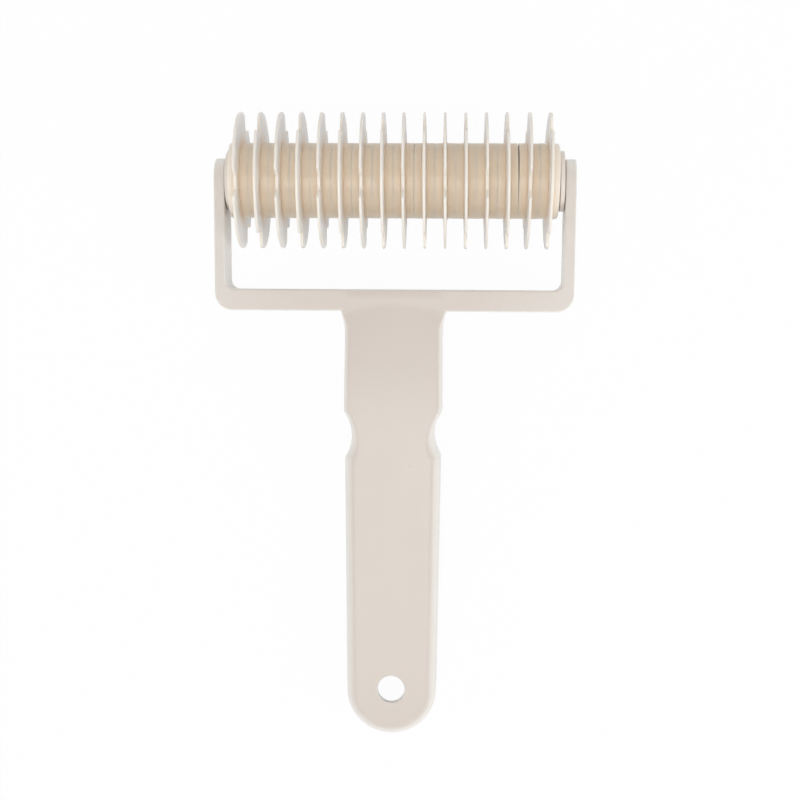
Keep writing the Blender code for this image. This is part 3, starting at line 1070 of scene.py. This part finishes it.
    def bearing_mesh(self) -> Mesh:
        """Make the cutter of the bearing holes of both arms.

        Returns:
            A round bar that flares at each of the arms' faces.
        """
        outer = self.sizes.arm_outer_face
        inner = self.sizes.arm_inner_face
        radius = self.sizes.journal_radius + self.sizes.bearing_gap
        wide = radius + self.bearing_chamfer
        right = [
            (inner, wide),
            (inner + self.bearing_chamfer, radius),
            (outer - self.bearing_chamfer, radius),
            (outer, wide),
            (outer + 2 * PAST, wide),
        ]
        section = [*mirrored(right), (0.0, wide), *right]
        angles = spread(0.0, math.tau, self.bore_sides)
        return turned_mesh("bearings", lambda angle: section, angles, False)

    def cut_cells(self, shape: BMesh) -> None:
        """Cut the front between the bar and the waist into cells that can follow the rise.

        Args:
            shape: The bmesh of the whole moulding, before its front is raised.
        """
        bar = self.sizes.bar_bottom
        half_width = self.root_half_width
        rows = stops(bar, bar + self.neck_arch, self.arch_rows)
        columns = spread(-half_width, half_width, self.neck_columns)[1:]
        planes = [((0.0, row, 0.0), (0.0, 1.0, 0.0)) for row in rows]
        planes += [((column, 0.0, 0.0), (1.0, 0.0, 0.0)) for column in columns]
        lowest = self.sizes.fork_half_depth - WELD
        farthest = bar - self.waist_from_bar - WELD
        for point, normal in planes:
            faces = [
                face for face in shape.faces
                if all(vert.co.z > lowest and vert.co.y > farthest for vert in face.verts)
            ]
            edges = dict.fromkeys(edge for face in faces for edge in face.edges)
            verts = dict.fromkeys(vert for face in faces for vert in face.verts)
            cut = [*faces, *edges, *verts]
            bmesh.ops.bisect_plane(shape, geom=cut, dist=WELD, plane_co=point, plane_no=normal)

    def raise_front(self, mesh: Mesh, with_cells: bool) -> Mesh:
        """Raise the front of a mesh, with its rounded edges.

        Args:
            mesh: The mesh to change.
            with_cells: Whether its front is first cut into cells.

        Returns:
            The same mesh.
        """
        shape = bmesh.new()
        shape.from_mesh(mesh)
        if with_cells:
            self.cut_cells(shape)
        edges_start = self.sizes.fork_half_depth - max(self.wall, self.grip_edge) - self.back_edge
        for vert in shape.verts:
            if vert.co.z > edges_start:
                vert.co.z += self.front_rise(vert.co.x, vert.co.y)
        shape.to_mesh(mesh)
        shape.free()
        return mesh

    def rib_places(self, start: float, end: float) -> list[float]:
        """Return the middles of evenly spaced ribs between two walls."""
        cells = max(1, math.ceil((end - start) / self.longest_rib_cell))
        return spread(start, end, cells)[1:]

    def rib(self, low: Pair, high: Pair) -> Rings:
        """Return a rib's rings; it is set back from the rim of the open back."""
        half = self.sizes.fork_half_depth
        return box((*low, -half + self.rib_recess), (*high, half + 2 * PAST))

    def hollow_mesh(self) -> Mesh:
        """Make the space in the handle's open back, between its ribs.

        Returns:
            The shape that is taken out of the handle.
        """
        bar = self.sizes.bar_bottom
        half = self.rib_thickness / 2
        span = self.root_half_width + PAST
        last = self.hole_at + self.rib_from_hole
        inside = self.handle_mesh("hollow", bar, -self.sizes.fork_half_depth - PAST, self.wall)
        places = [last, *self.rib_places(last, bar)]
        across = [self.rib((-span, place - half), (span, place + half)) for place in places]
        along = [self.rib((-half, last), (half, bar + PAST))]
        ribs = [solids_mesh("ribs_across", across), solids_mesh("rib_along", along)]
        return combined(self.raise_front(inside, False), Cut.REMOVE, *ribs)

    def bar_hollow_mesh(self) -> Mesh:
        """Make the channel in the bar's open back, between its ribs.

        Returns:
            The shape that is taken out of the bar.
        """
        sizes = self.sizes
        half = self.rib_thickness / 2
        reach = self.arm_face(sizes.arm_inner_face, sizes.bar_top) - self.inner_corner
        low = (-reach, sizes.bar_bottom + self.bar_wall, -sizes.fork_half_depth - PAST)
        high = (reach, sizes.bar_top - self.bar_wall, sizes.fork_half_depth - self.wall)
        channel = solids_mesh("channel", [box(low, high)])
        ribs = [
            self.rib((place - half, sizes.bar_bottom), (place + half, sizes.bar_top))
            for place in self.rib_places(-reach, reach)
        ]
        return combined(channel, Cut.REMOVE, solids_mesh("bar_ribs", ribs))

    def hole_mesh(self) -> Mesh:
        """Make the cutter of the hanging hole.

        Returns:
            A round bar that widens to the hole's rounded front edge and runs out in a flat cone.
        """
        front = self.sizes.fork_half_depth + self.grip_rise - self.hole_dip
        wide = self.hole_radius + self.hole_edge
        mouth = wide + 2 * self.hole_blend
        levels = [(self.hole_radius, 0.0)]
        levels += arc((wide, front - self.hole_edge), self.hole_edge, math.pi, QUARTER, self.edge_steps)
        levels += [(mouth, front + 2 * self.hole_dip), (mouth, front + PAST)]
        angles = spread(0.0, math.tau, self.bore_sides)
        rings = [
            [Vector((r * math.cos(a), self.hole_at + r * math.sin(a), z)) for a in angles]
            for r, z in levels
        ]
        return solids_mesh("hanging_hole", [rings])

    def moulding_mesh(self) -> Mesh:
        """Make the whole moulding.

        Returns:
            The moulding in the tool's own frame.
        """
        sizes = self.sizes
        fork = combined(self.fork_mesh(), Cut.KEEP_COMMON, self.side_view_mesh())
        rounding = {"width": self.fork_edge, "segments": self.fork_edge_steps}
        steep = {"limit_method": "ANGLE", "angle_limit": self.fork_edges_over}
        fork = modified(fork, "BEVEL", **rounding, **steep)
        fork = combined(fork, Cut.REMOVE, self.bearing_mesh())
        inside_bar = sizes.bar_bottom + sizes.bar_height / 2
        body = self.handle_mesh("handle_body", inside_bar, -sizes.fork_half_depth, 0.0)
        whole = self.raise_front(combined(fork, Cut.ADD, body), True)
        hollows = (self.hollow_mesh(), self.bar_hollow_mesh(), self.hole_mesh())
        return combined(whole, Cut.REMOVE, *hollows)

    def build(self) -> list[Object]:
        """Model the moulding and put it in place.

        Returns:
            The one piece, whose large faces set its shading.
        """
        mesh = self.moulding_mesh()
        piece = self.show("handle_moulding", "handle_yoke", mesh, self.placement.handle)
        modify(piece, "WEIGHTED_NORMAL", keep_sharp=True, weight=self.large_face_weight)
        return [piece]


@dataclass(kw_only=True)
class WheelStack(Assembly):
    """Notched cutting wheels, side by side on the shaft from the first number to the last."""

    first: int
    last: int
    hub_radius: float = 11.95 * MM
    seam: float = 0.004 * MM
    wide_seam: float = 0.04 * MM
    wide_seams_after: tuple[int, ...] = (6, 9)
    hub_corner: float = 0.01 * MM
    last_corner: float = 0.8 * MM
    corner_steps: int = 5
    hub_fade: float = 0.12 * MM
    blade_root: float = 1.25 * MM
    blade_edge: float = 0.75 * MM
    blade_rounding: float = 0.15 * MM
    fillet: float = 0.45 * MM
    notch_mouth: float = 24.0 * DEGREE
    notch_floor: float = 15.0 * DEGREE
    notch_depth: float = 4.2 * MM
    notch_softness: float = 0.25
    row_lean: float = 0.45 * DEGREE
    row_tip: float = 0.75 * DEGREE
    last_leans: tuple[float, ...] = (-0.75 * DEGREE, -0.8 * DEGREE)
    last_shift: float = -0.40 * MM
    last_trim: float = 0.16 * MM
    fillet_steps: int = 4
    face_steps: int = 4
    rounding_steps: int = 3
    flank_steps: int = 10
    floor_steps: int = 3
    rim_steps: int = 24

    @property
    def sector(self) -> float:
        """The angle from one notch to the next."""
        return math.tau / self.sizes.notches

    def rim_radius(self, angle: float) -> float:
        """Return the blade's outer radius, which is smaller in the notches.

        Args:
            angle: The angle about the shaft, from the middle of the first notch.

        Returns:
            The radius.
        """
        off = abs((angle + self.sector / 2) % self.sector - self.sector / 2)
        flank = (self.notch_mouth - self.notch_floor) / 2
        share = (off - self.notch_floor / 2) / flank
        return self.sizes.wheel_radius - self.notch_depth * (1 - soft_share(share, self.notch_softness))

    def half_thickness(self, radius: float) -> float:
        """Return half the blade's thickness, which tapers from the hub to the edge."""
        share = (radius - self.hub_radius) / (self.sizes.wheel_radius - self.hub_radius)
        return (self.blade_root + (self.blade_edge - self.blade_root) * share) / 2

    def hub_ends(self, number: int) -> Pair:
        """Return how far a wheel's hub reaches to its left and to its right.

        Args:
            number: The wheel's number, from 1 at the left.

        Returns:
            The lengths left and right of the blade's middle.
        """
        half = (self.sizes.wheel_pitch - self.seam) / 2
        wide = (self.wide_seam - self.seam) / 2
        trim = self.last_trim * (number == self.sizes.wheel_count)
        left = half - wide * (number - 1 in self.wide_seams_after)
        return left, half - wide * (number in self.wide_seams_after) - trim

    def section(self, angle: float, number: int) -> list[Pair]:
        """Return a wheel's section at an angle.

        Args:
            angle: The angle about the shaft.
            number: The wheel's number.

        Returns:
            Points (place along the shaft, radius), once round the section.
        """
        hub = self.hub_radius
        left, right = self.hub_ends(number)
        corner = self.last_corner if number == self.sizes.wheel_count else self.hub_corner
        bore = hexagon_radius(self.sizes.bore_across_flats, angle)
        foot = (self.half_thickness(hub) + self.fillet, hub + self.fillet)
        face_end = self.rim_radius(angle) - self.blade_rounding
        shoulder = (self.half_thickness(face_end) - self.blade_rounding, face_end)
        blade = arc(foot, self.fillet, -QUARTER, -math.pi, self.fillet_steps)
        for radius in stops(foot[1], face_end, self.face_steps)[1:]:
            blade.append((self.half_thickness(radius), radius))
        blade += arc(shoulder, self.blade_rounding, 0.0, QUARTER, self.rounding_steps)[1:]
        return [
            (right, bore),
            *arc((right - corner, hub - corner), corner, 0.0, QUARTER, self.corner_steps),
            (right - corner - self.hub_fade, hub),
            *blade,
            *mirrored(blade),
            (self.hub_fade - left, hub),
            (self.hub_corner - left, hub),
            (-left, hub - self.hub_corner),
            (-left, bore),
        ]

    def angles(self) -> list[float]:
        """Return where a wheel's sections are.

        Returns:
            Angles once round, close together on the notches' flanks.
        """
        soft = self.notch_softness * (self.notch_mouth - self.notch_floor) / 2
        mouth = self.notch_mouth / 2 + soft
        floor = self.notch_floor / 2 - soft
        angles = []
        for notch in range(self.sizes.notches):
            middle = notch * self.sector
            angles += spread(middle - mouth, middle - floor, self.flank_steps)
            angles += spread(middle - floor, middle + floor, self.floor_steps)
            angles += spread(middle + floor, middle + mouth, self.flank_steps)
            angles += spread(middle + mouth, middle + self.sector - mouth, self.rim_steps)
        return angles

    def build(self) -> list[Object]:
        """Thread the wheels, every other one turned by half a notch pitch.

        Returns:
            The wheels, from left to right.
        """
        wheels = []
        count = self.sizes.wheel_count
        for number in range(self.first, self.last + 1):
            solid = f"cutting_wheel_{number:02d}"
            low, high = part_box(solid)
            middle = (low.x + high.x) / 2
            lean = self.row_lean
            if number > count - len(self.last_leans):
                lean = self.last_leans[number - count - 1]
                middle += self.last_shift
            turn = self.sizes.first_notch_at + (number - 1) % 2 * self.sector / 2
            place = self.placement.on_shaft(middle)
            place = place @ Matrix.Rotation(lean, 4, "Z") @ Matrix.Rotation(self.row_tip, 4, "Y")
            place = place @ Matrix.Rotation(turn, 4, "X")
            mesh = turned_mesh(solid, partial(self.section, number=number), self.angles(), True)
            wheels.append(self.show(f"wheel_{number:02d}", solid, mesh, place))
        return wheels


@dataclass
class EndCaps(Assembly):
    """The two caps that close the stack, domed towards the arms."""

    radius: float = 9.6 * MM
    left_rim: float = 0.8 * MM
    right_rim: float = 1.0 * MM
    right_inward: float = 0.35 * MM
    rim_rounding: float = 0.12 * MM
    crown_margin: float = 0.5 * MM
    dome_steps: int = 12
    sides: int = 96

    def section(self, angle: float, end: End) -> list[Pair]:
        """Return a cap's section at an angle, from its bore over its dome.

        Args:
            angle: The angle about the shaft.
            end: Which cap it is; the right one reaches over the play in the stack.

        Returns:
            Points (place along the shaft, radius), once round the section.
        """
        inward, rim = 0.0, self.left_rim
        if end is End.RIGHT:
            inward, rim = self.right_inward, self.right_rim
        bore = hexagon_radius(self.sizes.bore_across_flats, angle)
        crown = hexagon_radius(self.sizes.bore_across_flats, 0.0) + self.crown_margin
        rise = self.sizes.cap_thickness - rim
        dome = [
            (rim + rise * math.sin(turn), crown + (self.radius - crown) * math.cos(turn))
            for turn in stops(0.0, QUARTER, self.dome_steps)
        ]
        return [
            (-inward, bore),
            (-inward, self.radius - self.rim_rounding),
            (self.rim_rounding - inward, self.radius),
            *dome,
            (self.sizes.cap_thickness, bore),
        ]

    def build(self) -> list[Object]:
        """Put a cap at each end of the stack.

        Returns:
            The left cap and the right one.
        """
        caps = []
        for end in End:
            solid = f"end_cap_{end.name.lower()}"
            section = partial(self.section, end=end)
            mesh = turned_mesh(solid, section, spread(0.0, math.tau, self.sides), True)
            along = end.value * self.sizes.cap_inner_face
            place = self.placement.on_shaft(along, self.sizes.first_notch_at)
            if end is End.LEFT:
                place = place @ Matrix.Rotation(math.pi, 4, "Z")
            caps.append(self.show(f"cap_{end.name.lower()}", solid, mesh, place))
        return caps


@dataclass
class RollerShaft(Assembly):
    """The hexagonal core with a round journal at each end."""

    slot: str = "shaft_plastic"
    chamfer: float = 0.4 * MM
    core_corner: float = 0.15 * MM
    sides: int = 96

    def section(self, angle: float) -> list[Pair]:
        """Return the shaft's section at an angle, from the left end to the right one.

        Args:
            angle: The angle about the shaft.

        Returns:
            Points (place along the shaft, radius).
        """
        end = self.sizes.arm_outer_face - self.sizes.end_gap
        journal = self.sizes.journal_radius
        core_end = self.sizes.cap_outer_face
        core = hexagon_radius(self.sizes.core_across_flats, angle)
        core = min(core, hexagon_radius(self.sizes.core_across_flats, 0.0) - self.core_corner)
        right = [
            (core_end - self.core_corner, core),
            (core_end, core - self.core_corner),
            (core_end, journal),
            (end - self.chamfer, journal),
            (end, journal - self.chamfer),
        ]
        return mirrored(right) + right

    def build(self) -> list[Object]:
        """Put the shaft between the arms.

        Returns:
            The one piece.
        """
        mesh = turned_mesh("shaft", self.section, spread(0.0, math.tau, self.sides), False)
        place = self.placement.on_shaft(0.0, self.sizes.first_notch_at)
        return [self.show("keyed_shaft", "roller_shaft", mesh, place)]


@dataclass(frozen=True)
class SoftLamp:
    """A square lamp that lights the tool evenly."""

    name: str
    level: float
    away: float
    azimuth: float
    elevation: float
    width: float

    def light(self, aim: Vector) -> None:
        """Hang the lamp and point it at a place.

        Args:
            aim: The point that it lights.
        """
        lamp = bpy.data.lights.new(self.name, "AREA")
        lamp.shape = "SQUARE"
        lamp.size = self.width
        # A white surface that faces the lamp then shows at its level from any distance.
        lamp.energy = self.level * math.pi**2 * self.away**2
        flat = math.cos(self.elevation)
        height = math.sin(self.elevation)
        towards = Vector((flat * math.sin(self.azimuth), flat * math.cos(self.azimuth), height))
        hung = put(self.name, lamp)
        hung.location = aim + towards * self.away
        hung.rotation_euler = towards.to_track_quat("Z", "Y").to_euler()


@dataclass
class Studio:
    """The pale floor, the soft light and the camera above the tool."""

    room_level: float = 0.45
    lamps: tuple[SoftLamp, ...] = (
        SoftLamp("overhead_lamp", 0.21, 1.0, math.pi, 76.5 * DEGREE, 0.46),
        SoftLamp("near_lamp", 0.13, 1.2, math.pi, 32.0 * DEGREE, 1.2),
        SoftLamp("far_lamp", 0.13, 1.2, 0.0, 32.0 * DEGREE, 1.2),
        SoftLamp("left_lamp", 0.16, 1.0, -1.15 * QUARTER, 33.0 * DEGREE, 0.5),
        SoftLamp("right_lamp", 0.24, 1.0, 1.2 * QUARTER, 33.0 * DEGREE, 0.5),
    )
    lamp_aim: Triple = (0.0, 0.0, 20.0 * MM)
    white: Triple = (1.0, 1.0, 1.0)
    floor_half_width: float = 3.0
    floor_colour: Triple = (0.9, 0.9, 0.9)
    floor_roughness: float = 0.9
    floor_glow: float = 0.97
    camera_at: Triple = (23.234 * MM, 8.779 * MM, 491.65 * MM)
    camera_pitch: float = -0.098 * DEGREE
    camera_yaw: float = 2.5421 * DEGREE
    camera_roll: float = 0.5593 * DEGREE
    camera_sees_from: float = 10.0 * MM
    lens_mm: float = 65.868
    sensor_mm: float = 36.0

    def seen(self, graph: Graph) -> Wire:
        """Return 1 for rays that show the background, straight, in a gloss or through glass."""
        path = graph.add("ShaderNodeLightPath")
        return (path["Is Camera Ray"] + path["Is Glossy Ray"] + path["Is Transmission Ray"]).held()

    def light_room(self) -> None:
        """Fill the room with plain light and show it as white."""
        world = bpy.data.worlds.new("plain_room")
        bpy.context.scene.world = world
        graph = Graph(world)
        level = self.room_level + self.seen(graph) * (1 - self.room_level)
        room = graph.add("ShaderNodeBackground", {"Color": self.white, "Strength": level})
        graph.add("ShaderNodeOutputWorld", {"Surface": room["Background"]})

    def floor_material(self) -> Material:
        """Make the floor's finish.

        Returns:
            A material that glows white where it is seen and keeps the shadow.
        """
        material = bpy.data.materials.new("white_table")
        graph = Graph(material)
        matt = {"Roughness": self.floor_roughness, "Specular IOR Level": 0.0}
        paint = graph.add("ShaderNodeBsdfPrincipled", {"Base Color": self.floor_colour, **matt})
        glow = graph.add("ShaderNodeEmission", {"Color": self.white, "Strength": 1.0})
        share = self.seen(graph) * self.floor_glow
        surface = graph.add("ShaderNodeMixShader", {0: share, 1: paint["BSDF"], 2: glow["Emission"]})
        graph.add("ShaderNodeOutputMaterial", {"Surface": surface["Shader"]})
        return material

    def lay_floor(self) -> None:
        """Lay the table's surface under the tool."""
        half = self.floor_half_width
        mesh = bpy.data.meshes.new("table")
        outline = [(-half, -half, 0.0), (half, -half, 0.0), (half, half, 0.0), (-half, half, 0.0)]
        mesh.from_pydata(outline, [], [(0, 1, 2, 3)])
        mesh.materials.append(self.floor_material())
        put("table", mesh)

    def hang_camera(self) -> None:
        """Hang the camera above the tool and make it the scene's camera."""
        camera = bpy.data.cameras.new("picture_camera")
        camera.lens = self.lens_mm
        camera.sensor_width = self.sensor_mm
        camera.clip_start = self.camera_sees_from
        place = Matrix.Translation(self.camera_at)
        for turn, axis in ((self.camera_pitch, "X"), (self.camera_yaw, "Y"), (self.camera_roll, "Z")):
            place = place @ Matrix.Rotation(turn, 4, axis)
        hung = put("picture_camera", camera)
        hung.matrix_world = place
        bpy.context.scene.camera = hung

    def build(self) -> None:
        """Set up the room, the floor, the lamps and the camera."""
        bpy.context.scene.view_settings.view_transform = "Standard"
        self.light_room()
        self.lay_floor()
        for lamp in self.lamps:
            lamp.light(Vector(self.lamp_aim))
        self.hang_camera()


def main() -> None:
    """Dress the tool on its frame, light it and report each piece."""
    logging.basicConfig(level=logging.INFO, format="%(message)s")
    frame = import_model()
    sizes = ToolSizes()
    placement = Placement.from_frame(frame, sizes)
    count = sizes.wheel_count
    left, right = (END_WHEEL_CREAMS[end].material() for end in End)
    assemblies = (
        HandleMoulding(sizes, placement, HANDLE_CREAM.material()),
        WheelStack(sizes, placement, left, first=1, last=1),
        WheelStack(sizes, placement, WHEEL_CREAM.material(), first=2, last=count - 1),
        WheelStack(sizes, placement, right, first=count, last=count),
        EndCaps(sizes, placement, CAP_CREAM.material()),
        RollerShaft(sizes, placement, SHAFT_CREAM.material()),
    )
    Studio().build()
    for assembly in assemblies:
        for piece in assembly.build():
            faces = len(piece.data.polygons)
            log.info("%s: %d faces, rides on %s", piece.name, faces, assembly.body.value)
    bpy.context.view_layer.update()


if __name__ == "__main__":
    main()
